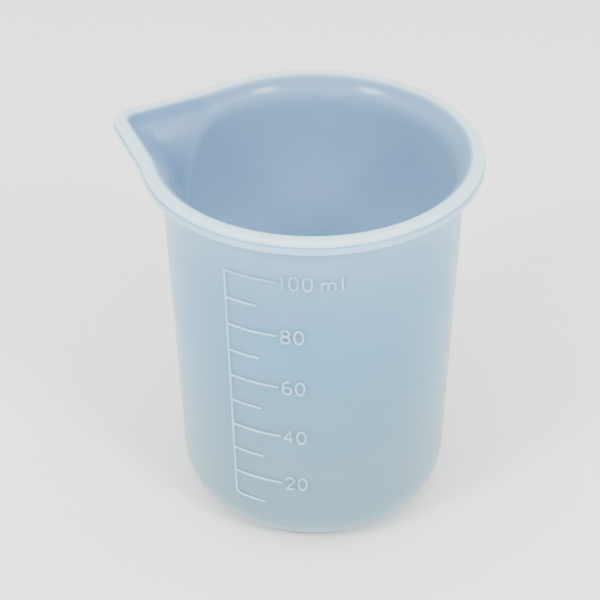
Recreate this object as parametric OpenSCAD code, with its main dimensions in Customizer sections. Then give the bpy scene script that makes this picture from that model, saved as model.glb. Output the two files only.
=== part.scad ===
// Pouring and measuring cup, 100 ml, moulded in one shot of silicone.
// Each region of the moulding is its own solid, and neighbours meet face to face.
// +Z up, origin on the cup's axis at the underside of the base.
// The spout points along -X and the scale faces -Y.

/* [Cup] */
// Height from the underside of the base to the top of the rim
cup_h = 71.5; // [60:0.5:90]
// Outer diameter of the wall right under the rim
wall_d_top = 52.6; // [51:0.1:54]
// Outer diameter of the wall, carried down to the base plane
wall_d_base = 49.3; // [45:0.1:51]
// Thickness of the wall
wall_t = 1.6; // [1.2:0.1:2.2]
// Thickness of the base
floor_t = 4.5; // [2:0.1:6]
// Outer radius between wall and base
corner_r = 9; // [5:0.5:11]
// Inner radius between wall and floor
inner_corner_r = 7; // [4:0.5:9]

/* [Rim] */
// Outer diameter of the rim flange
rim_d = 59; // [58:0.1:61]
// Height of the rim flange
rim_h = 2.5; // [2:0.1:3.5]
// Width of the flat on top of the rim
rim_flat = 1.6; // [0.8:0.1:2]
// Radius on the rim's outer edges
rim_edge_r = 0.6; // [0.3:0.1:0.8]
// Height of the mould's parting line above the rim's underside
parting_h = 1.2; // [0.8:0.1:1.3]
// Step in the rim's outer face at the parting line
parting_step = 0.15; // [0.05:0.05:0.25]

/* [Spout] */
// Angle between the spout's axis and each straight flank
flank_angle = 48.4; // [40:0.2:52]
// How far the flanks stand inside the rim's circle
flank_inset = 0.6; // [0.4:0.1:1.2]
// Radius of the lip at the tip, on the rim's outer edge
tip_r = 4.6; // [3:0.1:6]
// Smallest radius along the bottom of the channel
channel_r = 1.5; // [1:0.1:2.5]
// Height over which the channel runs out into the wall
spout_h = 20; // [14:1:26]
// How quickly the channel flares out towards the rim
spout_flare = 2.4; // [1.5:0.1:3]

/* [Scale] */
// Largest volume on the scale, in ml
mark_max = 100; // [100:100:100]
// Volume between two marks, in ml
mark_step = 10; // [10:10:10]
// Height of the lowest mark
mark_first_z = 11.5; // [11:0.1:13]
// Distance between marks
mark_pitch = 5.54; // [5:0.01:5.6]
// Length of a long mark
long_mark = 9.2; // [7:0.1:11]
// Length of a short mark
short_mark = 5.9; // [4:0.1:7]
// Width of every raised line
stroke = 0.36; // [0.3:0.02:0.5]
// How far the scale stands out from the wall
relief = 0.3; // [0.2:0.05:0.4]
// Height of the numerals
digit_h = 3; // [2.4:0.1:3.4]
// Width of a numeral
digit_w = 1.85; // [1.5:0.05:2]
// Distance between two numerals
digit_pitch = 2.25; // [2.1:0.05:2.5]
// Angle of the scale's upright line, from -Y towards +X
stem_angle = -14.5; // [-30:0.5:0]

/* [Hidden] */
fine = 180;
eps = 0.01;

// Draft of the wall, and the height where the rim starts
rim_z = cup_h - rim_h;
draft = (wall_d_top - wall_d_base) / 2 / rim_z;
lean = sqrt(1 + draft * draft);
function outer_r(z) = wall_d_base / 2 + draft * z;
function inner_r(z) = outer_r(z) - wall_t * lean;

// Centres of the two corner arcs, each tangent to the wall and to its flat
outer_arc = [outer_r(corner_r) - corner_r * lean, corner_r];
inner_arc_z = floor_t + inner_corner_r;
inner_arc = [inner_r(inner_arc_z) - inner_corner_r * lean, inner_arc_z];
corner_top = max(outer_arc.y, inner_arc.y);
spout_z = rim_z - spout_h;

// Rim section as [inset from the rim's outer edge, height] around the flange
rim_r = rim_d / 2;
bore_inset = rim_r - inner_r(rim_z);
flat_inset = parting_step + rim_edge_r;
arc_steps = 4;
function edge_arc(inset, z, from) = [for (i = [0 : arc_steps])
    let (a = from + 90 * i / arc_steps)
    [inset - rim_edge_r * cos(a), z + rim_edge_r * sin(a)]];
rim_section = concat(
    [[bore_inset, rim_z]],
    edge_arc(rim_edge_r, rim_z + rim_edge_r, -90),
    [[0, rim_z + parting_h], [parting_step, rim_z + parting_h]],
    edge_arc(flat_inset, cup_h - rim_edge_r, 0),
    [[flat_inset + rim_flat, cup_h]]);

// Plan outline of the spout: straight flanks joined by an arc at the tip,
// blended into the circle of the cup. turn is the angle from the spout's axis.
flank_normal = 90 - flank_angle;
function flank_line(d, turn) = d / cos(min(turn, flank_normal) - flank_normal);
function tip_arc(c, r, turn) = c * cos(turn) + sqrt(max(0, r * r - pow(c * sin(turn), 2)));
function spout_v(d, r, turn) =
    let (c = (d - r) / sin(flank_angle),
         touch = atan2(r * sin(flank_normal), c + r * cos(flank_normal)))
    turn < touch ? tip_arc(c, r, turn) : flank_line(d, turn);
function blend(a, b) = max(a, b) + pow(max(flank_inset - abs(a - b), 0), 2) / (4 * flank_inset);
function outline_r(circle, d, r, turn) = blend(circle, spout_v(d, r, abs(turn)));

// Outline at a given inset from the rim's outer edge
function lip_tip_r(inset) = max(tip_r - inset, channel_r);
function lip_r(inset, turn) =
    outline_r(rim_r - inset, rim_r - flank_inset - inset, lip_tip_r(inset), turn);

// Outline of the channel and of its outside, running out into the wall with depth
channel_reach = lip_r(bore_inset, 0) - inner_r(rim_z);
function sink(z) = (rim_z - z) / spout_h;
function reach(z) = channel_reach * pow(1 - sink(z), spout_flare) - flank_inset * sink(z);
function channel_d(z) =
    (inner_r(z) + reach(z) - channel_r) * sin(flank_angle) + channel_r;
function channel_in(z, turn) = outline_r(inner_r(z), channel_d(z), channel_r, turn);
function channel_out(z, turn) =
    outline_r(outer_r(z), channel_d(z) + wall_t * lean, channel_r + wall_t * lean, turn);

// Angles at which the spout is cut, closer together at its tip
spout_sector = 45;
spout_cuts = 24;
spout_turns = [for (i = [-spout_cuts : spout_cuts])
    let (s = i / spout_cuts) spout_sector * sign(s) * pow(abs(s), 1.5)];
depth_steps = 12;
spout_heights = [for (i = [0 : depth_steps]) rim_z - spout_h * pow(i / depth_steps, 1.3)];

// Scale
mark_count = mark_max / mark_step;
marks = [for (i = [1 : mark_count]) i * mark_step];
function is_long(ml) = ml % (2 * mark_step) == 0;
function mark_z(ml) = mark_first_z + mark_pitch * (ml / mark_step - 1);
function arc_angle(length, z) = length / outer_r(z) * 180 / PI;
numeral_gap = 0.5;
unit_gap = 0.8;
letter_m_w = 2.6;

// A numeral's own width and gap; a 1 takes less room than the others
one_narrower = 0.6;
function cell_w(digit) = digit_pitch - (digit == "1" ? one_narrower : 0);
function width_of(digits, count) =
    count == 0 ? 0 : width_of(digits, count - 1) + cell_w(digits[count - 1]);
function digit_at(digits, i) =
    width_of(digits, i) + (cell_w(digits[i]) - (digit_pitch - digit_w)) / 2;

wall_nodes = ["base_disc", "base_corner", "cup_wall", "rim_flange", "spout_channel", "spout_lip"];
mark_nodes = [for (ml = marks) str("mark_", ml, "ml")];
numeral_nodes = [for (ml = marks) if (is_long(ml)) str("numeral_", ml)];

silicone = [0.69, 0.79, 0.85];
rim_tint = [0.86, 0.90, 0.92];
scale_tint = [0.80, 0.87, 0.91];

// Filled outer and inner profiles of the cup, to the right of its axis
module outer_profile() {
    wall_angle = atan(draft);
    touch = outer_arc + corner_r * [cos(wall_angle), -sin(wall_angle)];
    polygon([[0, 0], [outer_arc.x, 0], outer_arc, touch, [outer_r(rim_z), rim_z], [0, rim_z]]);
    translate(outer_arc) circle(corner_r, $fn = fine);
}

module inner_profile() {
    wall_angle = atan(draft);
    touch = inner_arc + inner_corner_r * [cos(wall_angle), -sin(wall_angle)];
    top = cup_h + eps;
    polygon([[0, floor_t], [inner_arc.x, floor_t], inner_arc, touch, [inner_r(top), top], [0, top]]);
    translate(inner_arc) circle(inner_corner_r, $fn = fine);
}

module shell_profile(low, high, from_r = 0) {
    intersection() {
        difference() {
            outer_profile();
            inner_profile();
        }
        translate([from_r, low]) square([rim_r, high - low]);
    }
}

// Closed skin over rings of points, one ring at each cut, with flat end caps
module loft(rings) {
    n = len(rings[0]);
    last = len(rings) - 1;
    sides = [for (j = [0 : last - 1], i = [0 : n - 1], half = [0, 1])
        let (a = j * n + i, b = j * n + (i + 1) % n)
        half == 0 ? [a, b, b + n] : [a, b + n, a + n]];
    cap_a = [[for (i = [0 : n - 1]) (n - i) % n]];
    cap_b = [[for (i = [0 : n - 1]) last * n + i]];
    points = [for (ring = rings, p = ring) p];
    polyhedron(points, concat(sides, cap_a, cap_b), convexity = 8);
}

// A point at a turn from the spout's axis, which is -X
function spout_point(r, turn, z) = [-r * cos(turn), r * sin(turn), z];

module base_disc() {
    color(silicone) cylinder(h = floor_t, r = outer_arc.x, $fn = fine);
}

module base_corner() {
    color(silicone) rotate_extrude($fn = fine) shell_profile(0, corner_top, outer_arc.x);
}

// Wedge of the sector that the spout fills, wide enough to cut the wall and its chords
module spout_wedge(low, high) {
    reach = 2 * rim_r;
    translate([0, 0, low]) linear_extrude(high - low)
        polygon([[0, 0], reach * [-cos(spout_sector), sin(spout_sector)],
            reach * [-cos(spout_sector), -sin(spout_sector)]]);
}

module cup_wall() {
    color(silicone) difference() {
        rotate_extrude($fn = fine) shell_profile(corner_top, rim_z);
        spout_wedge(spout_z, cup_h);
    }
}

module rim_flange() {
    color(rim_tint)
        rotate([0, 0, spout_sector - 180])
            rotate_extrude(angle = 360 - 2 * spout_sector, $fn = fine)
                polygon([for (p = rim_section) [rim_r - p.x, p.y]]);
}

module spout_lip() {
    color(rim_tint)
        loft([for (turn = spout_turns)
            [for (p = rim_section) spout_point(lip_r(p.x, turn), turn, p.y)]]);
}

module spout_channel() {
    down = spout_heights;
    up = [for (i = [depth_steps : -1 : 0]) spout_heights[i]];
    color(silicone)
        loft([for (turn = spout_turns) concat(
            [for (z = down) spout_point(channel_in(z, turn), turn, z)],
            [for (z = up) spout_point(channel_out(z, turn), turn, z)])]);
}

// Band of the raised scale: from the wall's surface out by the relief
module relief_profile(low, high) {
    polygon([[outer_r(low), low], [outer_r(low) + relief, low],
        [outer_r(high) + relief, high], [outer_r(high), high]]);
}

// Raised line along the wall from one angle over a number of degrees
module raised_arc(from, over, low, high) {
    rotate([0, 0, from - 90]) rotate_extrude(angle = over, $fn = fine) relief_profile(low, high);
}

module scale_stem() {
    low = mark_z(mark_step) - stroke / 2;
    high = mark_z(mark_max) - stroke / 2;
    color(scale_tint) raised_arc(stem_angle, arc_angle(stroke, high), low, high);
}

module mark(ml) {
    z = mark_z(ml);
    on_stem = arc_angle(stroke, mark_z(mark_max) - stroke / 2);
    start = ml == mark_max ? -arc_angle(stroke, z) : on_stem;
    length = arc_angle(is_long(ml) ? long_mark : short_mark, z);
    color(scale_tint) raised_arc(stem_angle + start, length - start, z - stroke / 2, z + stroke / 2);
}

// Strokes of the numerals, each centred on its own origin
module slot(w, h) {
    r = w / 2;
    for (side = [-1, 1]) translate([0, side * (h / 2 - r)]) circle(r, $fn = 48);
    if (h > w) square([w, h - w], center = true);
}

module ring(w, h) {
    difference() {
        slot(w, h);
        slot(w - 2 * stroke, h - 2 * stroke);
    }
}

module bar(from, to) {
    length = norm(to - from);
    translate((from + to) / 2)
        rotate(atan2(to.y - from.y, to.x - from.x)) square([length + stroke, stroke], center = true);
}

// The part of a ring on one side of a line through its centre
module half_ring(w, h, turn) {
    intersection() {
        ring(w, h);
        rotate(turn) translate([-h, 0]) square([2 * h, h]);
    }
}

module digit(n) {
    half_w = digit_w / 2 - stroke / 2;
    half_h = digit_h / 2 - stroke / 2;
    loop_h = digit_h / 2 + stroke / 2;
    loop_y = digit_h / 2 - loop_h / 2;
    narrow = min(digit_w, loop_h);
    if (n == "0") ring(digit_w, digit_h);
    if (n == "1") {
        bar([0.2, -half_h], [0.2, half_h]);
        bar([0.2, half_h], [-0.3, half_h - 0.4]);
    }
    if (n == "2") {
        translate([0, loop_y]) half_ring(narrow, loop_h, -25);
        bar([half_w * 0.8, loop_y - loop_h * 0.25], [-half_w, -half_h]);
        bar([-half_w, -half_h], [half_w, -half_h]);
    }
    if (n == "4") {
        bar([half_w * 0.4, half_h], [half_w * 0.4, -half_h]);
        bar([half_w * 0.4, half_h], [-half_w, -half_h * 0.4]);
        bar([-half_w, -half_h * 0.4], [half_w, -half_h * 0.4]);
    }
    if (n == "6") {
        translate([0, -loop_y]) ring(digit_w, max(loop_h, digit_w));
        bar([-half_w, -loop_y], [half_w * 0.3, half_h]);
    }
    if (n == "8") for (side = [-1, 1]) translate([0, side * loop_y]) ring(narrow, loop_h);
}

module letter_m() {
    leg = letter_m_w / 2 - stroke / 2;
    low = -digit_h / 2 + stroke / 2;
    shoulder = low + digit_h * 0.6;
    for (x = [-leg, 0, leg]) bar([x, low], [x, shoulder]);
    bar([-leg, shoulder], [leg, shoulder]);
}

module letter_l() {
    half_h = digit_h / 2 - stroke / 2;
    bar([0, -half_h], [0, half_h]);
}

// A flat shape pushed through the wall and kept where the scale's relief is
module on_wall(angle, z) {
    intersection() {
        rotate([0, 0, angle]) translate([0, 0, z]) rotate([90, 0, 0])
            linear_extrude(rim_r) children();
        rotate_extrude($fn = fine) relief_profile(z - digit_h, z + digit_h);
    }
}

// Angle of a numeral's centre, counted from the end of its long mark
function glyph_angle(offset, z) = stem_angle + arc_angle(long_mark + numeral_gap + offset, z);

module numeral(ml) {
    digits = str(ml);
    z = mark_z(ml);
    color(scale_tint)
        for (i = [0 : len(digits) - 1])
            on_wall(glyph_angle(digit_at(digits, i), z), z) digit(digits[i]);
}

module unit_ml() {
    z = mark_z(mark_max);
    digits = str(mark_max);
    m_at = width_of(digits, len(digits)) + unit_gap + letter_m_w / 2;
    l_at = m_at + letter_m_w / 2 + unit_gap + stroke / 2;
    color(scale_tint) {
        on_wall(glyph_angle(m_at, z), z) letter_m();
        on_wall(glyph_angle(l_at, z), z) letter_l();
    }
}

base_disc();
base_corner();
cup_wall();
rim_flange();
spout_channel();
spout_lip();
scale_stem();
for (ml = marks) mark(ml);
for (ml = marks) if (is_long(ml)) numeral(ml);
unit_ml();
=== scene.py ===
"""Silicone pouring and measuring cup: the looks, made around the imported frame."""
import math

import bpy
from bpy.props import FloatProperty, FloatVectorProperty, IntProperty, PointerProperty
from mathutils import Matrix, Vector


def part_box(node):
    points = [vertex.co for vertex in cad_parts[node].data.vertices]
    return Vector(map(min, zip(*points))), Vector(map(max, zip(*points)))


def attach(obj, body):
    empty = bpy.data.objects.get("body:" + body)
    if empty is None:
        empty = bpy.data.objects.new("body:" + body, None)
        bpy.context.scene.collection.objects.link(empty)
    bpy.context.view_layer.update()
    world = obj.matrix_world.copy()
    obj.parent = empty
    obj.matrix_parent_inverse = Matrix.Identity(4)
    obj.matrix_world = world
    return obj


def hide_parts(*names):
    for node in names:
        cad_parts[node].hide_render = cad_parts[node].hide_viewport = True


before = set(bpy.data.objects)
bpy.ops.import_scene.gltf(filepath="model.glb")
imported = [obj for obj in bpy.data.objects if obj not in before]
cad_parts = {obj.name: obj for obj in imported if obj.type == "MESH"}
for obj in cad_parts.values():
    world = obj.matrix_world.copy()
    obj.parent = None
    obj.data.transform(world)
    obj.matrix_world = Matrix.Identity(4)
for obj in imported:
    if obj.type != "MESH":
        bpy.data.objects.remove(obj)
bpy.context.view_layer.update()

bl_info = {
    "name": "Silicone measuring cup",
    "version": (1, 0, 0),
    "blender": (4, 5, 0),
    "location": "3D View > Sidebar > Cup",
    "description": "Makes a translucent silicone cup, its raised scale and a small studio",
    "category": "Object",
}

MM = 0.001
BODY = "root"
SEAM_GAP = 0.001 * MM  # points closer than this are one
MOULDING_NODES = ("base_disc", "base_corner", "cup_wall", "rim_flange", "spout_channel",
                  "spout_lip")
MARK_NODES = tuple(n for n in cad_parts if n.startswith("mark_")) + ("scale_stem",)
NUMERAL_NODES = tuple(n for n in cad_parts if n.startswith(("numeral_", "unit_")))

RIM_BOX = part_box("rim_flange")
DISC_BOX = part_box("base_disc")


def length(name, description, default, low=0.0, high=1.0):
    """A length in metres that the sidebar shows in the scene's own unit."""
    return FloatProperty(name=name, description=description, default=default, min=low, max=high,
                         unit="LENGTH", subtype="DISTANCE", precision=5)


def angle(name, description, degrees):
    """An angle that the sidebar shows in degrees."""
    return FloatProperty(name=name, description=description, default=math.radians(degrees),
                         subtype="ANGLE")


def share(name, description, default):
    """A number from 0 to 1."""
    return FloatProperty(name=name, description=description, default=default,
                         min=0.0, max=1.0, subtype="FACTOR")


def linear(hex_colour):
    """The linear RGB of an sRGB colour such as "#B9C8D0"."""
    parts = [int(hex_colour[i:i + 2], 16) / 255 for i in (1, 3, 5)]
    return [c / 12.92 if c <= 0.04045 else ((c + 0.055) / 1.055) ** 2.4 for c in parts]


def colour(name, description, hex_colour):
    """A colour that the sidebar shows as a swatch."""
    return FloatVectorProperty(name=name, description=description, default=linear(hex_colour),
                               size=3, min=0.0, max=1.0, subtype="COLOR")


class CupSizes(bpy.types.PropertyGroup):
    """Sizes of the moulded cup."""
    height: length("Height", "From the underside of the base to the top of the rim", RIM_BOX[1].z)
    wall_top_d: length("Wall diameter, top", "Outside, right under the rim", 52.6 * MM)
    wall_base_d: length("Wall diameter, base", "Outside, carried down to the base", 49.3 * MM)
    wall: length("Wall", "Thickness of the wall", 1.6 * MM)
    floor: length("Floor", "Thickness of the base", DISC_BOX[1].z)
    corner: length("Outer corner", "Outside radius between wall and base", 9 * MM)
    inner_corner: length("Inner corner", "Inside radius between wall and floor", 7 * MM)
    rim_d: length("Rim diameter", "Across the flange", RIM_BOX[1].y - RIM_BOX[0].y)
    rim_h: length("Rim height", "Height of the flange", RIM_BOX[1].z - RIM_BOX[0].z)
    rim_flat: length("Rim flat", "Width of the flat on top of the rim", 1.6 * MM)
    rim_edge: length("Rim edge", "Radius on the rim's outer edges", 0.6 * MM)
    parting_h: length("Parting line", "Height of the parting line above the rim's underside",
                      1.2 * MM)
    parting_step: length("Parting step", "Step in the rim at the parting line", 0.2 * MM)
    under_fillet: length("Fillet", "Radius where the wall meets the rim's underside", 0.45 * MM)
    bore_soft: length("Bore blend", "Reach of the rounding between the chamfer and the wall",
                      2.6 * MM)
    flank_angle: angle("Flank angle", "Between the spout's axis and each straight flank", 48.4)
    flank_inset: length("Flank inset", "How far the flanks stand inside the rim's circle", 0.6 * MM)
    tip_r: length("Tip radius", "Radius of the spout's tip at the rim's outer edge", 4.6 * MM)
    channel_r: length("Channel radius", "Smallest radius along the bottom of the channel", 1.5 * MM)
    spout_h: length("Spout height", "Height over which the channel runs out into the wall",
                    20 * MM)
    spout_flare: FloatProperty(name="Spout flare", default=2.4, min=1.0, max=4.0,
                               description="How quickly the channel opens towards the rim")
    turns: IntProperty(name="Faces round", description="Faces round the cup", default=360,
                       min=90, max=720)
    crowding: FloatProperty(name="Crowding", default=1.7, min=1.0, max=3.0,
                            description="How much closer together the faces are near the spout")


class ScaleSizes(bpy.types.PropertyGroup):
    """Sizes of the raised scale."""
    first_z: length("First mark", "Height of the lowest mark", 11.5 * MM)
    pitch: length("Pitch", "Distance between marks", 5.54 * MM)
    count: IntProperty(name="Marks", description="Number of marks", default=10, min=2, max=20)
    long_mark: length("Long mark", "Length of every second mark", 9.2 * MM)
    short_mark: length("Short mark", "Length of the marks between", 5.9 * MM)
    stroke: length("Stroke", "Width of a raised line", 0.36 * MM)
    relief: length("Relief", "How far the lines stand out from the wall", 0.3 * MM)
    stem_bend: length("Stem bend", "Radius where the upright line turns into the lowest mark",
                      1.1 * MM)
    stem_angle: angle("Stem angle", "Of the upright line, from -Y towards +X", -14.5)
    digit_h: length("Numeral height", "Height of the numerals", 3.0 * MM)
    digit_w: length("Numeral width", "Width of a numeral", 1.85 * MM)
    digit_pitch: length("Numeral pitch", "Distance between two numerals", 2.25 * MM)
    numeral_gap: length("Numeral gap", "Between a long mark and its numeral", 0.5 * MM)
    one_less: length("Narrow one", "How much less room a 1 takes than another numeral", 0.6 * MM)
    unit_w: length("Unit width", "Width of the m in ml", 2.6 * MM)
    unit_gap: length("Unit gap", "Before the m and between its two letters", 0.8 * MM)


class SiliconeLook(bpy.types.PropertyGroup):
    """Finish of the silicone."""
    thin: colour("Thin silicone", "Colour of the thin wall seen from outside", "#4C85A5")
    # Painted shade: the same thin wall is given a greyer colour on the cavity side, standing in for
    # the dimmer light inside the cup
    inside: colour("Inside", "Colour of the thin wall seen from inside", "#60809E")
    # Also the colour that the painted light down in the cavity mixes towards
    thick: colour("Thick silicone", "Colour where the moulding is thick", "#B8D6E6")
    foot: colour("Foot", "Colour that the cup turns to near its base", "#5F808A")
    roughness: share("Roughness", "Roughness of the satin surface", 0.42)
    sheen: share("Sheen", "Strength of the soft reflection", 0.03)
    scatter: length("Scatter", "How far light spreads inside the silicone", 5.5 * MM)
    # Painted highlight: paler than the wall, standing in for the light that the raised lines catch
    raised: colour("Raised lines", "Colour that the raised scale seems to have", "#86A8BD")


class StudioLook(bpy.types.PropertyGroup):
    """Floor, light and camera."""
    floor: colour("Floor", "Colour of the plain floor", "#F4F4F4")
    sky: FloatProperty(name="Sky", description="Strength of the even light all round",
                       default=0.97, min=0.0)
    top: FloatProperty(name="Top", description="Power of the wide light overhead in watts",
                       default=60.0, min=0.0)
    key: FloatProperty(name="Key", description="Power of the main light in watts",
                       default=1.5, min=0.0)
    fill: FloatProperty(name="Fill", description="Power of each window light in watts",
                        default=6.0, min=0.0)
    lens: FloatProperty(name="Lens", description="Focal length in millimetres",
                        default=96.0, min=10.0)


def add_node(tree, kind, inputs=None, **settings):
    """Adds a node with its settings; inputs go by name or number to values or to sockets."""
    node = tree.nodes.new(kind)
    for name, value in settings.items():
        setattr(node, name, value)
    for name, value in (inputs or {}).items():
        socket = node.inputs[name]
        if isinstance(value, bpy.types.NodeSocket):
            tree.links.new(value, socket)
        else:
            socket.default_value = value
    return node


def new_tree(name, inputs):
    """A geometry tree with named inputs (name, socket type), its input node and its output node."""
    tree = bpy.data.node_groups.new(name, "GeometryNodeTree")
    tree.interface.new_socket("Geometry", in_out="INPUT", socket_type="NodeSocketGeometry")
    for socket_name, kind in inputs:
        tree.interface.new_socket(socket_name, in_out="INPUT", socket_type=kind)
    tree.interface.new_socket("Geometry", in_out="OUTPUT", socket_type="NodeSocketGeometry")
    return tree, tree.nodes.new("NodeGroupInput"), tree.nodes.new("NodeGroupOutput")


def run_tree(obj, tree, values):
    """Runs a tree on an object with its inputs set, and returns the result as a plain mesh."""
    modifier = obj.modifiers.new(tree.name, "NODES")
    modifier.node_group = tree
    for item in tree.interface.items_tree:
        if item.in_out == "INPUT" and item.name in values:
            modifier[item.identifier] = values[item.name]
    bpy.context.view_layer.update()
    graph = bpy.context.evaluated_depsgraph_get()
    mesh = bpy.data.meshes.new_from_object(obj.evaluated_get(graph), depsgraph=graph)
    obj.modifiers.remove(modifier)
    return mesh


def link_new(name, data):
    """A new object at the origin, in the scene."""
    obj = bpy.data.objects.new(name, data)
    bpy.context.scene.collection.objects.link(obj)
    return obj


def plain_piece(name, source, mesh, material, nodes):
    """The finished piece: a mesh that rides on the body and stands for its nodes."""
    bpy.data.objects.remove(source)
    mesh.name = name
    piece = link_new(name, mesh)
    mesh.materials.clear()
    mesh.materials.append(material)
    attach(piece, BODY)
    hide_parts(*nodes)
    return piece


# ---------------------------------------------------------------- the moulding's section

ROW_FIELDS = ("ring", "height", "flank", "tip", "milk_and_painted_light", "inside")
SHOWN_FIELDS = ("milk_and_painted_light", "inside")  # these stay on the skin for its material

# How milky each region looks, from 0 where it is clearest to 1 on the rim, with painted light added
# down in the cavity
RIM_MILK = 1.0
LEDGE_MILK = 0.45  # the rim below its parting line, and the fillet under it
WALL_MILK = 0.1  # the wall and the base, outside
WALL_TOP_MILK, WALL_TOP_FADE = 0.4, 9  # added under the rim, and how fast it is gone lower down
BORE_MILK, CHAMFER_MILK, CHAMFER_FADE = 0.1, 0.14, 4  # inside the wall, up to the chamfer
DEEP_PAINTED_LIGHT, WELL_PAINTED_LIGHT = 1.5, 0.7  # painted light added down in the cavity to offset the shade there, and the most of it, which the inner corner and floor get
CHANNEL_SHADE_LIMIT = 0.35  # painted shade in the spout's channel: milk below this is lowered further there

# The step at the parting line and the crevice in it: (inset, rise) in steps, and how milky
PARTING_ROWS = (
    (0.0, -0.8, LEDGE_MILK), (0.1, -0.3, LEDGE_MILK), (0.5, 0.0, LEDGE_MILK),
    (1.4, 0.2, LEDGE_MILK), (2.0, 0.7, LEDGE_MILK), (1.9, 1.2, LEDGE_MILK),
    (1.3, 1.8, RIM_MILK), (1.05, 2.4, RIM_MILK), (1.0, 3.0, RIM_MILK))
FLAT_SOFT = 0.5 * MM  # reach of the rounding between the rim's flat top and the chamfer
FLAT_ROWS = (0.1 * MM, 0.7 * MM)  # the flat's two plain rows, from its outer and its inner edge
BEND_SHARE = 0.7  # how much of the bore blend's reach lies on the chamfer

# Rows in each part of the section
FLOOR_ROWS, CORNER_ROWS, INNER_CORNER_ROWS, WALL_ROWS, CHANNEL_ROWS = 6, 16, 14, 14, 18
FILLET_ROWS, LEDGE_ROWS, LOWER_EDGE_ROWS, UPPER_EDGE_ROWS = 4, 4, 5, 6
FLAT_BEND_ROWS, BORE_BEND_ROWS = 5, 8
CHANNEL_CROWD, BORE_CROWD = 0.75, 1.3  # below 1 crowds the rows to the end, above 1 to the start


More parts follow.
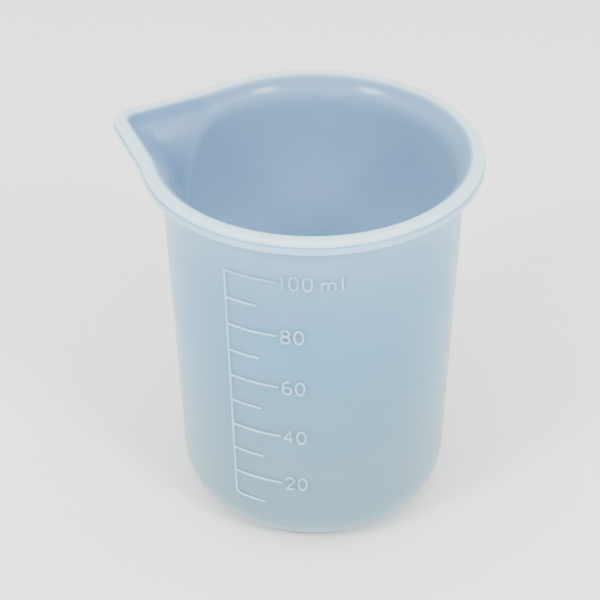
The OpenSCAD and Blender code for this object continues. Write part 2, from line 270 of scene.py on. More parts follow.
def cup_rows(cup):
    """Rows of the skin from the middle of the underside, up the outside, over the rim and down
    to the middle of the floor. A row holds what ROW_FIELDS names: its circle's radius, its
    height, the distance of the spout's flanks from the axis (0 where a row has no spout), the
    radius of the spout's tip, how milky the silicone looks with painted light added down in
    the cavity, and 1 where it faces the cavity."""
    rim_z = cup.height - cup.rim_h
    draft = (cup.wall_top_d - cup.wall_base_d) / 2 / rim_z
    lean = math.hypot(1, draft)
    slope = math.atan(draft)
    rim_r = cup.rim_d / 2
    spout_z = rim_z - cup.spout_h

    def outer_r(z):
        return cup.wall_base_d / 2 + draft * z

    def inner_r(z):
        return outer_r(z) - cup.wall * lean

    wall_inset = rim_r - outer_r(rim_z)
    bore_inset = rim_r - inner_r(rim_z)
    outer_tip = cup.channel_r + cup.wall * lean
    bore_flank = rim_r - cup.flank_inset - bore_inset
    bore_tip_r = (bore_flank - cup.channel_r) / math.sin(cup.flank_angle) + cup.channel_r
    channel_reach = bore_tip_r - inner_r(rim_z)

    def channel_flank(z):
        sink = (rim_z - z) / cup.spout_h
        reach = channel_reach * (1 - sink) ** cup.spout_flare - cup.flank_inset * sink
        return (inner_r(z) + reach - cup.channel_r) * math.sin(cup.flank_angle) + cup.channel_r

    def wall_row(z, out=0.0):
        milk_and_painted_light = WALL_MILK + WALL_TOP_MILK * (z / rim_z) ** WALL_TOP_FADE
        milk_and_painted_light += (LEDGE_MILK - milk_and_painted_light) * out / cup.under_fillet
        if z < spout_z:
            return (outer_r(z) + out, z, 0.0, 0.0, milk_and_painted_light)
        tip = outer_tip + (cup.tip_r - outer_tip) * out / wall_inset
        return (outer_r(z) + out, z, channel_flank(z) + cup.wall * lean + out, tip, milk_and_painted_light)

    def bore_row(z):
        milk_and_painted_light = BORE_MILK + (CHAMFER_MILK - BORE_MILK) * (z / rim_z) ** CHAMFER_FADE
        # Painted light: paler towards the floor, offsetting the shade deep in the cavity
        milk_and_painted_light = min(milk_and_painted_light + DEEP_PAINTED_LIGHT * (1 - z / rim_z) ** 2, WELL_PAINTED_LIGHT)
        if z < spout_z:
            return (inner_r(z), z, 0.0, 0.0, milk_and_painted_light)
        return (inner_r(z), z, channel_flank(z), cup.channel_r, milk_and_painted_light)

    def rim_row(inset, z, tip=None, milk_and_painted_light=RIM_MILK):
        if tip is None:
            tip = max(cup.tip_r - inset, cup.channel_r)
        return (rim_r - inset, z, rim_r - cup.flank_inset - inset, tip, milk_and_painted_light)

    def under_row(inset):
        tip = outer_tip + (cup.tip_r - outer_tip) * (1 - inset / wall_inset)
        return rim_row(inset, rim_z, tip, LEDGE_MILK)

    def spread(start, end, count, power=1.0):
        """Values after the start, up to the end."""
        return [start + (end - start) * (i / count) ** power for i in range(1, count + 1)]

    def bend(a, corner, b, count):
        """Rows on a smooth curve from a to b that keeps towards the corner."""
        rows = []
        for i in range(count + 1):
            t = i / count
            rows.append(tuple((1 - t) ** 2 * p + 2 * t * (1 - t) * q + t * t * r
                              for p, q, r in zip(a, corner, b)))
        return rows

    def between(a, b, t):
        return tuple(p + (q - p) * t for p, q in zip(a, b))

    # Underside and outer corner
    arc_r = outer_r(cup.corner) - cup.corner * lean
    rows = [(r, 0.0, 0.0, 0.0, WALL_MILK) for r in [0.0] + spread(0.0, arc_r, FLOOR_ROWS)]
    for turn in spread(-math.pi / 2, -slope, CORNER_ROWS):
        rows.append((arc_r + cup.corner * math.cos(turn), cup.corner * (1 + math.sin(turn)),
                     0.0, 0.0, WALL_MILK))

    # Wall and outside of the channel, then the fillet under the rim
    rows += [wall_row(z) for z in spread(rows[-1][1], spout_z, WALL_ROWS)]
    wall_end = rim_z - cup.under_fillet
    rows += [wall_row(z) for z in spread(spout_z, wall_end, CHANNEL_ROWS, CHANNEL_CROWD)]
    for turn in spread(0.0, math.pi / 2, FILLET_ROWS):
        rows.append(wall_row(wall_end + cup.under_fillet * math.sin(turn),
                             cup.under_fillet * (1 - math.cos(turn))))
    rows += [under_row(inset)
             for inset in spread(wall_inset - cup.under_fillet, cup.rim_edge, LEDGE_ROWS)]

    # Rim: rounded lower edge, parting line with its crevice, rounded upper edge
    for turn in spread(0.0, math.pi / 2, LOWER_EDGE_ROWS):
        rows.append(rim_row(cup.rim_edge * (1 - math.sin(turn)),
                            rim_z + cup.rim_edge * (1 - math.cos(turn)), milk_and_painted_light=LEDGE_MILK))
    parting_z = rim_z + cup.parting_h
    step = cup.parting_step
    rows += [rim_row(inset * step, parting_z + rise * step, milk_and_painted_light=milk_and_painted_light)
             for inset, rise, milk_and_painted_light in PARTING_ROWS]
    for turn in spread(0.0, math.pi / 2, UPPER_EDGE_ROWS):
        rows.append(rim_row(step + cup.rim_edge * (1 - math.cos(turn)),
                            cup.height - cup.rim_edge * (1 - math.sin(turn))))

    # Flat top and chamfer, each blended into what follows
    flat_from = step + cup.rim_edge
    flat_to = flat_from + cup.rim_flat
    rows += [rim_row(flat_from + FLAT_ROWS[0], cup.height),
             rim_row(flat_to - FLAT_ROWS[1], cup.height)]
    chamfer_top = rim_row(flat_to, cup.height, milk_and_painted_light=CHAMFER_MILK)
    chamfer_end = (inner_r(rim_z), rim_z, bore_flank, cup.channel_r, CHAMFER_MILK)
    chamfer_w = bore_inset - flat_to
    soft_to = FLAT_SOFT / chamfer_w
    soft_from = 1 - cup.bore_soft / chamfer_w * BEND_SHARE
    rows += bend(rim_row(flat_to - FLAT_SOFT, cup.height), chamfer_top,
                 between(chamfer_top, chamfer_end, soft_to), FLAT_BEND_ROWS)
    rows.append(between(chamfer_top, chamfer_end, (soft_to + soft_from) / 2))
    bore_from = rim_z - cup.bore_soft
    rows += bend(between(chamfer_top, chamfer_end, soft_from), chamfer_end,
                 bore_row(bore_from), BORE_BEND_ROWS)

    # Inside of the channel and wall, inner corner and floor
    rows += [bore_row(z) for z in spread(bore_from, spout_z, CHANNEL_ROWS, BORE_CROWD)]
    arc_z = cup.floor + cup.inner_corner
    arc_r = inner_r(arc_z) - cup.inner_corner * lean
    bore_to = arc_z - cup.inner_corner * math.sin(slope)
    rows += [bore_row(z) for z in spread(spout_z, bore_to, WALL_ROWS)]
    # The inner corner and floor carry the full painted light of the cavity's depths
    for turn in spread(-slope, -math.pi / 2, INNER_CORNER_ROWS):
        rows.append((arc_r + cup.inner_corner * math.cos(turn),
                     arc_z + cup.inner_corner * math.sin(turn), 0.0, 0.0, WELL_PAINTED_LIGHT))
    rows += [(r, cup.floor, 0.0, 0.0, WELL_PAINTED_LIGHT) for r in spread(arc_r, 0.0, FLOOR_ROWS)]
    inner = max(i for i, row in enumerate(rows) if row[1] >= cup.height) + 1
    return [row + (float(i >= inner),) for i, row in enumerate(rows)]


def moulding_tree():
    """Turns the section's rows round the axis. Each row is the larger of its circle and of two
    straight flanks joined by an arc at the spout's tip, with a soft blend between the two."""
    tree, source, result = new_tree("Turned cup with a spout", [
        ("Faces round", "NodeSocketInt"), ("Flank angle", "NodeSocketFloat"),
        ("Blend", "NodeSocketFloat"), ("Crowding", "NodeSocketFloat"),
        ("Channel shade reach", "NodeSocketFloat"), ("Silicone", "NodeSocketMaterial")])
    faces = source.outputs["Faces round"]
    index = add_node(tree, "GeometryNodeInputIndex").outputs[0]
    count = add_node(tree, "GeometryNodeAttributeDomainSize", {
        "Geometry": source.outputs["Geometry"]})
    around = add_node(tree, "ShaderNodeMath", {0: faces, 1: 1.0}, operation="ADD").outputs[0]
    grid = add_node(tree, "GeometryNodeMeshGrid", {
        "Vertices X": count.outputs["Point Count"], "Vertices Y": around})
    row_part = add_node(tree, "ShaderNodeMath", {0: index, 1: around}, operation="DIVIDE")
    row = add_node(tree, "ShaderNodeMath", {0: row_part.outputs[0]}, operation="FLOOR").outputs[0]
    known = {"index": index, "faces": faces, "around": around, "pi": math.pi,
             "angle": source.outputs["Flank angle"], "soft": source.outputs["Blend"],
             "crowding": source.outputs["Crowding"], "shade_reach": source.outputs["Channel shade reach"]}
    for field in ROW_FIELDS:
        value = add_node(tree, "GeometryNodeInputNamedAttribute", {"Name": field},
                         data_type="FLOAT")
        known[field] = add_node(tree, "GeometryNodeSampleIndex", {
            "Geometry": source.outputs["Geometry"], "Value": value.outputs["Attribute"],
            "Index": row}, data_type="FLOAT", domain="POINT").outputs[0]
    for name, operation, *terms in (
            # The turn of a cut round the axis; cuts are closer together near the spout
            ("step", "MODULO", "index", "around"),
            ("stage", "DIVIDE", "step", "faces"), ("side", "MULTIPLY_ADD", "stage", 2.0, -1.0),
            ("size", "ABSOLUTE", "side"), ("sign", "SIGN", "side"),
            ("spaced", "POWER", "size", "crowding"),
            ("half_turn", "MULTIPLY", "spaced", "pi"), ("turn", "MULTIPLY", "half_turn", "sign"),
            ("cos", "COSINE", "turn"), ("sin", "SINE", "turn"),
            # The arc at the tip: its centre on the axis, and the angle where the flank takes over
            ("angle_sin", "SINE", "angle"), ("angle_cos", "COSINE", "angle"),
            ("quarter", "MULTIPLY", "pi", 0.5), ("normal", "SUBTRACT", "quarter", "angle"),
            ("spare", "SUBTRACT", "flank", "tip"), ("centre", "DIVIDE", "spare", "angle_sin"),
            ("touch_x", "MULTIPLY_ADD", "tip", "angle_sin", "centre"),
            ("touch_y", "MULTIPLY", "tip", "angle_cos"), ("touch", "ARCTAN2", "touch_y", "touch_x"),
            ("tip_2", "MULTIPLY", "tip", "tip"), ("off", "MULTIPLY", "centre", "sin"),
            ("off_2", "MULTIPLY", "off", "off"), ("under_root", "SUBTRACT", "tip_2", "off_2"),
            ("above_0", "MAXIMUM", "under_root", 0.0), ("root", "SQRT", "above_0"),
            ("arc", "MULTIPLY_ADD", "centre", "cos", "root"),
            # The straight flank
            ("held", "MINIMUM", "half_turn", "normal"),
            ("from_normal", "SUBTRACT", "held", "normal"),
            ("flank_cos", "COSINE", "from_normal"), ("line", "DIVIDE", "flank", "flank_cos"),
            ("on_arc", "LESS_THAN", "half_turn", "touch"), ("arc_less", "SUBTRACT", "arc", "line"),
            ("v", "MULTIPLY_ADD", "arc_less", "on_arc", "line"),
            # A row without a spout keeps its circle
            ("spouted", "GREATER_THAN", "flank", 0.0), ("plain", "SUBTRACT", "spouted", 1.0),
            ("spout", "MULTIPLY_ADD", "plain", "soft", "v"),
            ("apart", "SUBTRACT", "ring", "spout"), ("gap", "ABSOLUTE", "apart"),
            ("near", "SUBTRACT", "soft", "gap"), ("nearness", "MAXIMUM", "near", 0.0),
            ("near_2", "MULTIPLY", "nearness", "nearness"), ("four", "MULTIPLY", "soft", 4.0),
            ("lift", "DIVIDE", "near_2", "four"), ("larger", "MAXIMUM", "ring", "spout"),
            ("radius", "ADD", "larger", "lift"),
            ("minus", "MULTIPLY", "radius", -1.0), ("x", "MULTIPLY", "minus", "cos"),
            ("y", "MULTIPLY", "radius", "sin"),
            # Painted shade in the spout's channel: milk is lowered where a row reaches into it, on
            # the channel's inside and on the spout's outside, so both read darker and a clearer
            # blue
            ("reach", "SUBTRACT", "radius", "ring"), ("deep", "DIVIDE", "reach", "shade_reach"),
            ("share", "MINIMUM", "deep", 1.0), ("thin", "SUBTRACT", CHANNEL_SHADE_LIMIT, "milk_and_painted_light"),
            ("thin_0", "MAXIMUM", "thin", 0.0), ("painted_shade", "MULTIPLY", "share", "thin_0"),
            ("milk_and_painted_light", "SUBTRACT", "milk_and_painted_light", "painted_shade")):
        values = {i: known[t] if isinstance(t, str) else t for i, t in enumerate(terms)}
        known[name] = add_node(tree, "ShaderNodeMath", values, operation=operation).outputs[0]
    place = add_node(tree, "ShaderNodeCombineXYZ", {
        "X": known["x"], "Y": known["y"], "Z": known["height"]})
    kept = grid.outputs["Mesh"]
    for field in SHOWN_FIELDS:
        kept = add_node(tree, "GeometryNodeStoreNamedAttribute", {
            "Geometry": kept, "Name": field, "Value": known[field]},
            data_type="FLOAT", domain="POINT").outputs["Geometry"]
    bent = add_node(tree, "GeometryNodeSetPosition", {
        "Geometry": kept, "Position": place.outputs["Vector"]})
    closed = add_node(tree, "GeometryNodeMergeByDistance", {
        "Geometry": bent.outputs["Geometry"], "Distance": SEAM_GAP})
    smooth = add_node(tree, "GeometryNodeSetShadeSmooth", {"Geometry": closed.outputs["Geometry"]})
    real = add_node(tree, "GeometryNodeRealizeInstances", {"Geometry": smooth.outputs["Geometry"]})
    done = add_node(tree, "GeometryNodeSetMaterial", {
        "Geometry": real.outputs["Geometry"], "Material": source.outputs["Silicone"]})
    tree.links.new(done.outputs["Geometry"], result.inputs["Geometry"])
    return tree


def make_moulding(cup, material):
    """The whole cup without its scale, as one closed skin."""
    rows = cup_rows(cup)
    line = bpy.data.meshes.new("cup_section")
    line.from_pydata([(row[0], 0.0, row[1]) for row in rows],
                     [(i, i + 1) for i in range(len(rows) - 1)], [])
    for field, values in zip(ROW_FIELDS, zip(*rows)):
        line.attributes.new(field, "FLOAT", "POINT").data.foreach_set("value", values)
    source = link_new("cup_section", line)
    mesh = run_tree(source, moulding_tree(), {
        "Faces round": cup.turns, "Flank angle": cup.flank_angle, "Blend": cup.flank_inset,
        "Crowding": cup.crowding, "Channel shade reach": cup.channel_r, "Silicone": material})
    return plain_piece("cup_moulding", source, mesh, material, MOULDING_NODES)


# ---------------------------------------------------------------- the raised scale

RIDGE_SIDES = 12  # faces round a ridge
RIDGE_STEP = 0.25  # distance between the cuts along a ridge, in strokes
RIDGE_TIP = 0.04  # square of the ridge's width at its very end, as a share of its full width
RIDGE_ROOT = -0.2  # how deep a ridge reaches into the wall, in reliefs
STEM_CUTS = 10  # cuts round the upright line's bend
ML_PER_MARK = 10

WALL_INPUTS = [("Wall radius", "NodeSocketFloat"), ("Draft", "NodeSocketFloat"),
               ("Stem angle", "NodeSocketFloat"), ("Stroke", "NodeSocketFloat"),
               ("Relief", "NodeSocketFloat"), ("Silicone", "NodeSocketMaterial")]


def raised_line_tree():
    """Sweeps flat lines, drawn along X and up Y, into rounded ridges, and lays them on the wall."""
    tree, source, result = new_tree("Raised lines on the wall", WALL_INPUTS)
    known = {name: source.outputs[name] for name, _ in WALL_INPUTS}
    known["from_start"] = add_node(tree, "GeometryNodeSplineParameter").outputs["Length"]
    known["whole"] = add_node(tree, "GeometryNodeSplineLength").outputs["Length"]
    flat = add_node(tree, "ShaderNodeSeparateXYZ", {
        "Vector": add_node(tree, "GeometryNodeInputPosition").outputs["Position"]})
    known.update(along=flat.outputs["X"], up=flat.outputs["Y"], out=flat.outputs["Z"])
    for name, operation, *terms in (
            ("half", "MULTIPLY", "Stroke", 0.5), ("fine", "MULTIPLY", "Stroke", RIDGE_STEP),
            # The ridge narrows over half a stroke at both ends, so the ends are round
            ("from_end", "SUBTRACT", "whole", "from_start"),
            ("nearest", "MINIMUM", "from_start", "from_end"),
            ("ratio", "DIVIDE", "nearest", "half"), ("short", "SUBTRACT", 1.0, "ratio"),
            ("short_0", "MAXIMUM", "short", 0.0), ("short_2", "MULTIPLY", "short_0", "short_0"),
            ("rest", "SUBTRACT", 1.0, "short_2"), ("rest_0", "MAXIMUM", "rest", RIDGE_TIP),
            ("round", "SQRT", "rest_0"),
            # Height over the wall, then the turn round the axis
            ("tall", "DIVIDE", "Relief", "half"), ("stands", "MULTIPLY", "out", "tall"),
            ("root", "MULTIPLY", "Relief", RIDGE_ROOT), ("proud", "MAXIMUM", "stands", "root"),
            ("skin", "MULTIPLY_ADD", "up", "Draft", "Wall radius"),
            ("radius", "ADD", "skin", "proud"), ("round_wall", "DIVIDE", "along", "skin"),
            ("turn", "ADD", "round_wall", "Stem angle"),
            ("sin", "SINE", "turn"), ("cos", "COSINE", "turn"), ("x", "MULTIPLY", "radius", "sin"),
            ("y_out", "MULTIPLY", "radius", "cos"), ("y", "MULTIPLY", "y_out", -1.0)):
        values = {i: known[t] if isinstance(t, str) else t for i, t in enumerate(terms)}
        known[name] = add_node(tree, "ShaderNodeMath", values, operation=operation).outputs[0]
    even = add_node(tree, "GeometryNodeResampleCurve", {
        "Curve": source.outputs["Geometry"], "Length": known["fine"]}, mode="LENGTH")
    tapered = add_node(tree, "GeometryNodeSetCurveRadius", {
        "Curve": even.outputs["Curve"], "Radius": known["round"]})
    ring = add_node(tree, "GeometryNodeCurvePrimitiveCircle", {
        "Resolution": RIDGE_SIDES, "Radius": known["half"]})
    swept = add_node(tree, "GeometryNodeCurveToMesh", {
        "Curve": tapered.outputs["Curve"], "Profile Curve": ring.outputs["Curve"],
        "Scale": known["round"], "Fill Caps": True})
    wrapped = add_node(tree, "ShaderNodeCombineXYZ", {
        "X": known["x"], "Y": known["y"], "Z": known["up"]})
    laid = add_node(tree, "GeometryNodeSetPosition", {
        "Geometry": swept.outputs["Mesh"], "Position": wrapped.outputs["Vector"]})
    smooth = add_node(tree, "GeometryNodeSetShadeSmooth", {"Geometry": laid.outputs["Geometry"]})
    real = add_node(tree, "GeometryNodeRealizeInstances", {"Geometry": smooth.outputs["Geometry"]})
    done = add_node(tree, "GeometryNodeSetMaterial", {
        "Geometry": real.outputs["Geometry"], "Material": source.outputs["Silicone"]})
    tree.links.new(done.outputs["Geometry"], result.inputs["Geometry"])
    return tree


def marks_tree(raised):
    """Draws the upright line and the row of marks, every second one long, then raises them."""
    sizes = [("First mark", "NodeSocketFloat"), ("Pitch", "NodeSocketFloat"),
             ("Marks", "NodeSocketInt"), ("Long mark", "NodeSocketFloat"),
             ("Short mark", "NodeSocketFloat"), ("Stem bend", "NodeSocketFloat")]
    tree, source, result = new_tree("Graduation marks", sizes + WALL_INPUTS)
    known = {name: source.outputs[name] for name, _ in sizes}
    known["Stroke"] = source.outputs["Stroke"]
    known["index"] = add_node(tree, "GeometryNodeInputIndex").outputs[0]
    for name, operation, *terms in (
            ("above", "SUBTRACT", "Marks", 1.0), ("second_z", "ADD", "First mark", "Pitch"),
            ("odd", "MODULO", "index", 2.0), ("shorter", "SUBTRACT", "Short mark", "Long mark"),
            ("mark_w", "MULTIPLY_ADD", "odd", "shorter", "Long mark"),
            ("top_rise", "MULTIPLY", "above", "Pitch"), ("last_mark", "SUBTRACT", "Marks", 2.0),
            # The top mark starts a little before the upright line
            ("is_top", "COMPARE", "index", "last_mark", 0.5),
            ("overhang", "MULTIPLY", "Stroke", -1.0), ("start", "MULTIPLY", "is_top", "overhang"),
            ("full_w", "SUBTRACT", "mark_w", "start"),
            # The upright line's three points: its top, its foot and the end of the lowest mark
            ("first", "LESS_THAN", "index", 0.5), ("last", "GREATER_THAN", "index", 1.5),
            ("path_x", "MULTIPLY", "last", "Short mark"),
            ("path_y", "MULTIPLY_ADD", "first", "top_rise", "First mark")):
        values = {i: known[t] if isinstance(t, str) else t for i, t in enumerate(terms)}
        known[name] = add_node(tree, "ShaderNodeMath", values, operation=operation).outputs[0]
    low = add_node(tree, "ShaderNodeCombineXYZ", {"Y": known["second_z"]})
    rise = add_node(tree, "ShaderNodeCombineXYZ", {"Y": known["Pitch"]})
    places = add_node(tree, "GeometryNodeMeshLine", {
        "Count": known["above"], "Start Location": low.outputs[0], "Offset": rise.outputs[0]},
        mode="OFFSET")
    shifted = add_node(tree, "GeometryNodeSetPosition", {
        "Geometry": places.outputs["Mesh"],
        "Offset": add_node(tree, "ShaderNodeCombineXYZ", {"X": known["start"]}).outputs[0]})
    unit = add_node(tree, "GeometryNodeCurvePrimitiveLine", {"End": (1.0, 0.0, 0.0)})
    stretch = add_node(tree, "ShaderNodeCombineXYZ", {"X": known["full_w"], "Y": 1.0, "Z": 1.0})
    marks = add_node(tree, "GeometryNodeInstanceOnPoints", {
        "Points": shifted.outputs["Geometry"], "Instance": unit.outputs["Curve"],
        "Scale": stretch.outputs[0]})
    lines = add_node(tree, "GeometryNodeRealizeInstances", {"Geometry": marks.outputs["Instances"]})
    path = add_node(tree, "GeometryNodeMeshLine", {"Count": 3})
    corner = add_node(tree, "GeometryNodeSetPosition", {
        "Geometry": path.outputs["Mesh"],
        "Position": add_node(tree, "ShaderNodeCombineXYZ", {
            "X": known["path_x"], "Y": known["path_y"]}).outputs[0]})
    stem = add_node(tree, "GeometryNodeMeshToCurve", {"Mesh": corner.outputs["Geometry"]})
    bent = add_node(tree, "GeometryNodeFilletCurve", {
        "Curve": stem.outputs["Curve"], "Radius": known["Stem bend"], "Count": STEM_CUTS},
        mode="POLY")
    both = add_node(tree, "GeometryNodeJoinGeometry", {"Geometry": lines.outputs["Geometry"]})
    tree.links.new(bent.outputs["Curve"], both.inputs["Geometry"])
    group = add_node(tree, "GeometryNodeGroup", node_tree=raised)
    tree.links.new(both.outputs["Geometry"], group.inputs["Geometry"])
    for name, _ in WALL_INPUTS:
        tree.links.new(source.outputs[name], group.inputs[name])
    real = add_node(tree, "GeometryNodeRealizeInstances", {"Geometry": group.outputs["Geometry"]})
    done = add_node(tree, "GeometryNodeSetMaterial", {
        "Geometry": real.outputs["Geometry"], "Material": source.outputs["Silicone"]})
    tree.links.new(done.outputs["Geometry"], result.inputs["Geometry"])
    return tree


def wall_values(cup, scale, material):
    """What both scale trees need to know of the wall."""
    return {"Wall radius": cup.wall_base_d / 2,
            "Draft": (cup.wall_top_d - cup.wall_base_d) / 2 / (cup.height - cup.rim_h),
            "Stem angle": scale.stem_angle, "Stroke": scale.stroke, "Relief": scale.relief,
            "Silicone": material}


def make_marks(cup, scale, material, raised):
    """The upright line with its ten marks."""
    source = link_new("scale_source", bpy.data.meshes.new("scale_source"))
    values = wall_values(cup, scale, material)
    values.update({"First mark": scale.first_z, "Pitch": scale.pitch, "Marks": scale.count,
                   "Long mark": scale.long_mark, "Short mark": scale.short_mark,
                   "Stem bend": scale.stem_bend})
    mesh = run_tree(source, marks_tree(raised), values)
    return plain_piece("graduation_marks", source, mesh, material, MARK_NODES)


def arc(x, y, rx, ry, start, end, count=14):
    """Points on an ellipse's arc, angles in degrees from +X."""
    turns = [math.radians(start + (end - start) * i / count) for i in range(count + 1)]
    return [(x + rx * math.cos(t), y + ry * math.sin(t)) for t in turns]


def glyph(sign, w, h):
    """Strokes of a sign in a box of half width w and half height h: (points, closed). The numbers
    place each stroke as a share of that box."""
    if sign == "0":
        return [(arc(0, 0, w, h, 90, 450, 28)[:-1], True)]
    if sign == "1":
        return [([(-0.62 * w, 0.62 * h), (0.05 * w, h), (0.05 * w, -h)], False)]
    if sign == "2":
        loop = arc(0, 0.47 * h, w, 0.53 * h, 165, -30)
        return [(loop + [(-w, -h), (w, -h)], False)]
    if sign == "4":
        return [([(w, -0.38 * h), (-w, -0.38 * h), (0.42 * w, h), (0.42 * w, -h)], False)]
    if sign == "6":
        back = arc(0.12 * w, -0.02 * h, 1.12 * w, 1.02 * h, 62, 190, 12)
        return [(back, False), (arc(0, -0.42 * h, w, 0.58 * h, 90, 450, 24)[:-1], True)]
    if sign == "8":
        return [(arc(0, 0.52 * h, 0.86 * w, 0.48 * h, 90, 450, 22)[:-1], True),
                (arc(0, -0.46 * h, w, 0.54 * h, 90, 450, 24)[:-1], True)]
    if sign == "m":
        top = 0.2 * h
        arches = [arc(x, top - 0.5 * w, 0.5 * w, 0.5 * w, 180, 0, 10) for x in (-0.5 * w, 0.5 * w)]
        return [([(-w, -h), (-w, top)], False)] + [(a + [(a[-1][0], -h)], False) for a in arches]
    return [([(0, h), (0, -h)], False)]


def make_numerals(cup, scale, material, raised):
    """The numerals beside the long marks, and ml beside the top one."""
    curve = bpy.data.curves.new("numeral_source", "CURVE")
    curve.dimensions = "3D"
    half_w, half_h = (scale.digit_w - scale.stroke) / 2, (scale.digit_h - scale.stroke) / 2

    def draw(sign, x, z, w):
        for points, closed in glyph(sign, w, half_h):
            spline = curve.splines.new("POLY")
            spline.points.add(len(points) - 1)
            for point, (px, py) in zip(spline.points, points):
                point.co = (x + px, z + py, 0.0, 1.0)
            spline.use_cyclic_u = closed

    for number in range(2, scale.count + 1, 2):
        z = scale.first_z + scale.pitch * (number - 1)
        x = scale.long_mark + scale.numeral_gap
        for sign in str(number * ML_PER_MARK):
            cell = scale.digit_pitch - (scale.one_less if sign == "1" else 0)
            draw(sign, x + (cell - (scale.digit_pitch - scale.digit_w)) / 2, z, half_w)
            x += cell
    draw("m", x + scale.unit_gap + scale.unit_w / 2, z, (scale.unit_w - scale.stroke) / 2)
    draw("l", x + 2 * scale.unit_gap + scale.unit_w + scale.stroke / 2, z, 0.0)
    source = link_new("numeral_source", curve)
    mesh = run_tree(source, raised, wall_values(cup, scale, material))
    return plain_piece("scale_numerals", source, mesh, material, NUMERAL_NODES)


# ---------------------------------------------------------------- materials

# A Mix node's sockets share their names across its data types, so they go by number
MIX_SHARE, MIX_A, MIX_B, MIXED = 0, 6, 7, 2

SILICONE_IOR = 1.41
SCATTER_RATIO = (0.9, 1.0, 1.1)  # blue light spreads a little further in it than red
SKIN, SKIN_ROUGHNESS, SKIN_IOR = 0.85, 0.18, 1.35  # the smoother film that touched the mould
FOOT_FROM, FOOT_TO = 52 * MM, 8 * MM  # heights between which the foot's colour takes over
CLOUD_SIZE = 22 * MM  # faint clouds in the mix
CLOUD_LOW, CLOUD_HIGH = 0.3, 0.7  # the part of the noise that is used
CLOUD_SHADE = 0.95  # how dark the darkest cloud is
CLOUD_GLOSS = 0.04  # how far the roughness wanders with them
PATCH_SIZE = 4 * MM  # paler and bluer patches along the raised lines
GRAIN_SIZE, GRAIN_DEPTH, GRAIN_STRENGTH = 0.5 * MM, 0.02 * MM, 0.05


def silicone(look):
    """Silicone rubber cast in a satin mould: milky and faintly blue, clearer where it is thin and
    whiter where it is thick. Light spreads inside it, so shades are soft, and the film that
    touched the mould gives a broad sheen instead of a sharp reflection. Its colour also carries
    painted light and shade: greyer on the faces towards the cavity, paler down in the cavity
    and darker in the spout's channel."""
    material = bpy.data.materials.new("Silicone rubber, moulded, translucent")
    material.use_nodes = True
    tree = material.node_tree
    tree.nodes.clear()
    spot = add_node(tree, "ShaderNodeTexCoord").outputs["Object"]
    milk_and_painted_light = add_node(tree, "ShaderNodeAttribute", attribute_name="milk_and_painted_light").outputs["Fac"]
    inside = add_node(tree, "ShaderNodeAttribute", attribute_name="inside").outputs["Fac"]
    foot = add_node(tree, "ShaderNodeMapRange", {
        "Value": add_node(tree, "ShaderNodeSeparateXYZ", {"Vector": spot}).outputs["Z"],
        "From Min": FOOT_FROM, "From Max": FOOT_TO}, interpolation_type="SMOOTHSTEP")
    wall = add_node(tree, "ShaderNodeMix", {
        MIX_SHARE: foot.outputs["Result"], MIX_A: (*look.thin, 1.0), MIX_B: (*look.foot, 1.0)},
        data_type="RGBA")
    # Painted shade: faces towards the cavity take the greyer inside colour
    clear = add_node(tree, "ShaderNodeMix", {
        MIX_SHARE: inside, MIX_A: wall.outputs[MIXED], MIX_B: (*look.inside, 1.0)},
        data_type="RGBA")
    # Milk, and the painted light down in the cavity, mixes towards the thick colour
    tint = add_node(tree, "ShaderNodeMix", {
        MIX_SHARE: milk_and_painted_light, MIX_A: clear.outputs[MIXED], MIX_B: (*look.thick, 1.0)},
        data_type="RGBA")
    cloud = add_node(tree, "ShaderNodeTexNoise", {
        "Vector": spot, "Scale": 1 / CLOUD_SIZE, "Detail": 2.0, "Roughness": 0.45})
    shade = add_node(tree, "ShaderNodeMapRange", {
        "Value": cloud.outputs["Fac"], "From Min": CLOUD_LOW, "From Max": CLOUD_HIGH,
        "To Min": CLOUD_SHADE, "To Max": 1.0})
    milky = add_node(tree, "ShaderNodeMix", {
        MIX_SHARE: 1.0, MIX_A: tint.outputs[MIXED], MIX_B: shade.outputs["Result"]},
        data_type="RGBA", blend_type="MULTIPLY")
    satin = add_node(tree, "ShaderNodeMapRange", {
        "Value": cloud.outputs["Fac"], "From Min": CLOUD_LOW, "From Max": CLOUD_HIGH,
        "To Min": look.roughness - CLOUD_GLOSS, "To Max": look.roughness + CLOUD_GLOSS})
    shader = add_node(tree, "ShaderNodeBsdfPrincipled", {
        "Base Color": milky.outputs[MIXED], "Roughness": satin.outputs["Result"],
        "IOR": SILICONE_IOR, "Specular IOR Level": look.sheen, "Subsurface Weight": 1.0,
        "Subsurface Radius": SCATTER_RATIO, "Subsurface Scale": look.scatter,
        "Normal": fine_grain(tree, spot),
        "Coat Weight": SKIN, "Coat Roughness": SKIN_ROUGHNESS, "Coat IOR": SKIN_IOR})
    output = add_node(tree, "ShaderNodeOutputMaterial")
    tree.links.new(shader.outputs["BSDF"], output.inputs["Surface"])
    return material


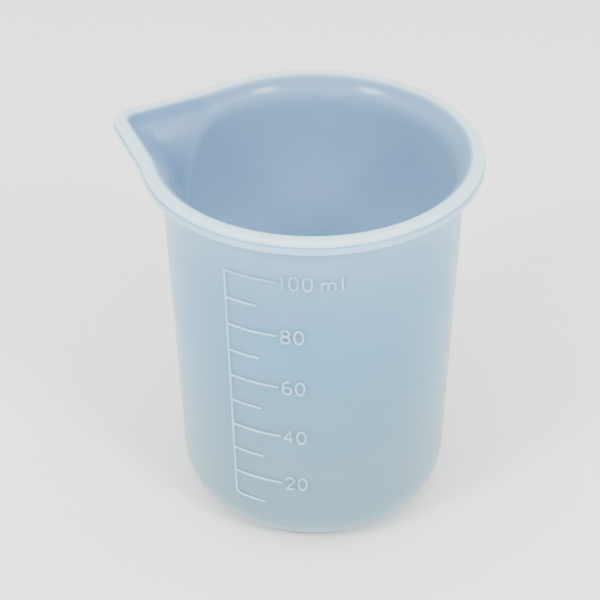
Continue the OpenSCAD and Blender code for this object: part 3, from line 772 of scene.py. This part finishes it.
def raised_silicone_painted_highlight(look):
    """The same silicone in lines too thin to look milky. Their colour is painted a little paler
    than the wall behind them: a painted highlight for the light they catch."""
    material = bpy.data.materials.new("Silicone rubber, raised lines, painted highlight")
    material.use_nodes = True
    tree = material.node_tree
    tree.nodes.clear()
    spot = add_node(tree, "ShaderNodeTexCoord").outputs["Object"]
    patches = add_node(tree, "ShaderNodeTexNoise", {
        "Vector": spot, "Scale": 1 / PATCH_SIZE, "Detail": 2.0})
    tint = add_node(tree, "ShaderNodeMix", {
        MIX_SHARE: patches.outputs["Fac"], MIX_A: (*look.raised, 1.0), MIX_B: (*look.thick, 1.0)},
        data_type="RGBA")
    shader = add_node(tree, "ShaderNodeBsdfPrincipled", {
        "Base Color": tint.outputs[MIXED], "Roughness": look.roughness, "IOR": SILICONE_IOR,
        "Specular IOR Level": look.sheen, "Normal": fine_grain(tree, spot)})
    output = add_node(tree, "ShaderNodeOutputMaterial")
    tree.links.new(shader.outputs["BSDF"], output.inputs["Surface"])
    return material


def fine_grain(tree, spot):
    """The mould's satin grain, drawn at 0.5 mm because the real grain is too fine to show."""
    grain = add_node(tree, "ShaderNodeTexNoise", {
        "Vector": spot, "Scale": 1 / GRAIN_SIZE, "Detail": 2.0})
    return add_node(tree, "ShaderNodeBump", {
        "Height": grain.outputs["Fac"], "Strength": GRAIN_STRENGTH,
        "Distance": GRAIN_DEPTH}).outputs["Normal"]


# ---------------------------------------------------------------- stage

FLOOR_HALF = 3.0
PAPER_ROUGHNESS = 0.9
CUP_MIDDLE, CUP_MOUTH = (0.0, 0.0, 0.04), (0.0, 0.0, 0.07)
TOP_PLACE, TOP_SIZE = (0.0, 0.0, 2.0), 3.0
KEY_PLACE, KEY_SIZE = (0.1, -0.55, 0.6), 0.5
WINDOWS = {"window_left": -30, "window_right": 60}  # degrees from -Y towards +X
WINDOW_RISE, WINDOW_FAR, WINDOW_SIZE = math.radians(36), 0.8, 0.22
CAMERA_PLACE, CAMERA_AIM = (0.07899, -0.2241, 0.21003), (-0.00228, -0.00083, 0.03959)
CAMERA_ROLL, SENSOR_MM, CLIP = math.radians(-0.47), 36.0, (0.01, 20.0)


def area_light(name, place, aim, size, watts):
    """A soft round light at a place, turned to face a point."""
    data = bpy.data.lights.new(name, "AREA")
    data.shape, data.size, data.energy = "DISK", size, watts
    light = link_new(name, data)
    light.location = place
    light.rotation_euler = (Vector(aim) - Vector(place)).to_track_quat("-Z", "Y").to_euler()
    return light


def make_stage(look):
    """A plain floor, an even white sky, soft lights and the camera."""
    floor_mesh = bpy.data.meshes.new("studio_floor")
    floor_mesh.from_pydata([(x * FLOOR_HALF, y * FLOOR_HALF, 0)
                            for x, y in ((-1, -1), (1, -1), (1, 1), (-1, 1))], [], [(0, 1, 2, 3)])
    floor = link_new("studio_floor", floor_mesh)
    paper = bpy.data.materials.new("Paper backdrop, matt")
    paper.use_nodes = True
    shader = paper.node_tree.nodes["Principled BSDF"]
    shader.inputs["Base Color"].default_value = (*look.floor, 1.0)
    shader.inputs["Roughness"].default_value = PAPER_ROUGHNESS
    floor_mesh.materials.append(paper)

    world = bpy.data.worlds.new("Even white sky")
    world.use_nodes = True
    sky = world.node_tree.nodes["Background"]
    sky.inputs["Color"].default_value = (1.0, 1.0, 1.0, 1.0)
    sky.inputs["Strength"].default_value = look.sky
    bpy.context.scene.world = world

    area_light("top_softbox", TOP_PLACE, CUP_MIDDLE, TOP_SIZE, look.top)
    key = area_light("key_softbox", KEY_PLACE, CUP_MIDDLE, KEY_SIZE, look.key)
    key.visible_glossy = False  # as if through a polarising sheet: it lights without a reflection
    across, up = WINDOW_FAR * math.cos(WINDOW_RISE), WINDOW_FAR * math.sin(WINDOW_RISE)
    for name, degrees in WINDOWS.items():
        turn = math.radians(degrees)
        offset = Vector((across * math.sin(turn), -across * math.cos(turn), up))
        area_light(name, Vector(CUP_MOUTH) + offset, CUP_MOUTH, WINDOW_SIZE, look.fill)

    data = bpy.data.cameras.new("studio_camera")
    data.lens, data.sensor_width = look.lens, SENSOR_MM
    data.clip_start, data.clip_end = CLIP
    camera = link_new("studio_camera", data)
    place = Vector(CAMERA_PLACE)
    aimed = (Vector(CAMERA_AIM) - place).to_track_quat("-Z", "Y").to_matrix().to_4x4()
    rolled = Matrix.Rotation(CAMERA_ROLL, 4, "Z")
    camera.matrix_world = Matrix.Translation(place) @ aimed @ rolled
    bpy.context.scene.camera = camera


# ---------------------------------------------------------------- operators and panel

class CUP_OT_moulding(bpy.types.Operator):
    """Make the moulded cup: base, wall, rim and spout in one skin"""
    bl_idname = "cup.moulding"
    bl_label = "Moulded cup"

    def execute(self, context):
        scene = context.scene
        make_moulding(scene.cup_sizes, silicone(scene.cup_silicone))
        return {"FINISHED"}


class CUP_OT_scale(bpy.types.Operator):
    """Make the raised marks and numerals on the cup's wall"""
    bl_idname = "cup.scale"
    bl_label = "Raised scale"

    def execute(self, context):
        scene = context.scene
        material = raised_silicone_painted_highlight(scene.cup_silicone)
        raised = raised_line_tree()
        make_marks(scene.cup_sizes, scene.cup_scale, material, raised)
        make_numerals(scene.cup_sizes, scene.cup_scale, material, raised)
        return {"FINISHED"}


class CUP_OT_studio(bpy.types.Operator):
    """Make the floor, the lights and the camera"""
    bl_idname = "cup.studio"
    bl_label = "Studio"

    def execute(self, context):
        make_stage(context.scene.cup_studio)
        return {"FINISHED"}


class CUP_PT_panel(bpy.types.Panel):
    """The cup's sizes and finishes, and a button for each piece"""
    bl_idname = "CUP_PT_panel"
    bl_label = "Silicone measuring cup"
    bl_space_type = "VIEW_3D"
    bl_region_type = "UI"
    bl_category = "Cup"

    def draw(self, context):
        scene = context.scene
        for group, operator in (
                (scene.cup_sizes, CUP_OT_moulding), (scene.cup_scale, CUP_OT_scale),
                (scene.cup_silicone, None), (scene.cup_studio, CUP_OT_studio)):
            box = self.layout.box()
            for name in group.bl_rna.properties.keys():
                if name not in ("rna_type", "name"):
                    box.prop(group, name)
            if operator:
                box.operator(operator.bl_idname)


GROUPS = {"cup_sizes": CupSizes, "cup_scale": ScaleSizes, "cup_silicone": SiliconeLook,
          "cup_studio": StudioLook}
CLASSES = (*GROUPS.values(), CUP_OT_moulding, CUP_OT_scale, CUP_OT_studio, CUP_PT_panel)


def register():
    for item in CLASSES:
        bpy.utils.register_class(item)
    for name, group in GROUPS.items():
        setattr(bpy.types.Scene, name, PointerProperty(type=group))


def unregister():
    for name in GROUPS:
        delattr(bpy.types.Scene, name)
    for item in reversed(CLASSES):
        bpy.utils.unregister_class(item)


def main():
    """Makes the cup and its studio."""
    register()
    bpy.ops.cup.studio()
    bpy.ops.cup.moulding()
    bpy.ops.cup.scale()


if __name__ == "__main__":
    main()
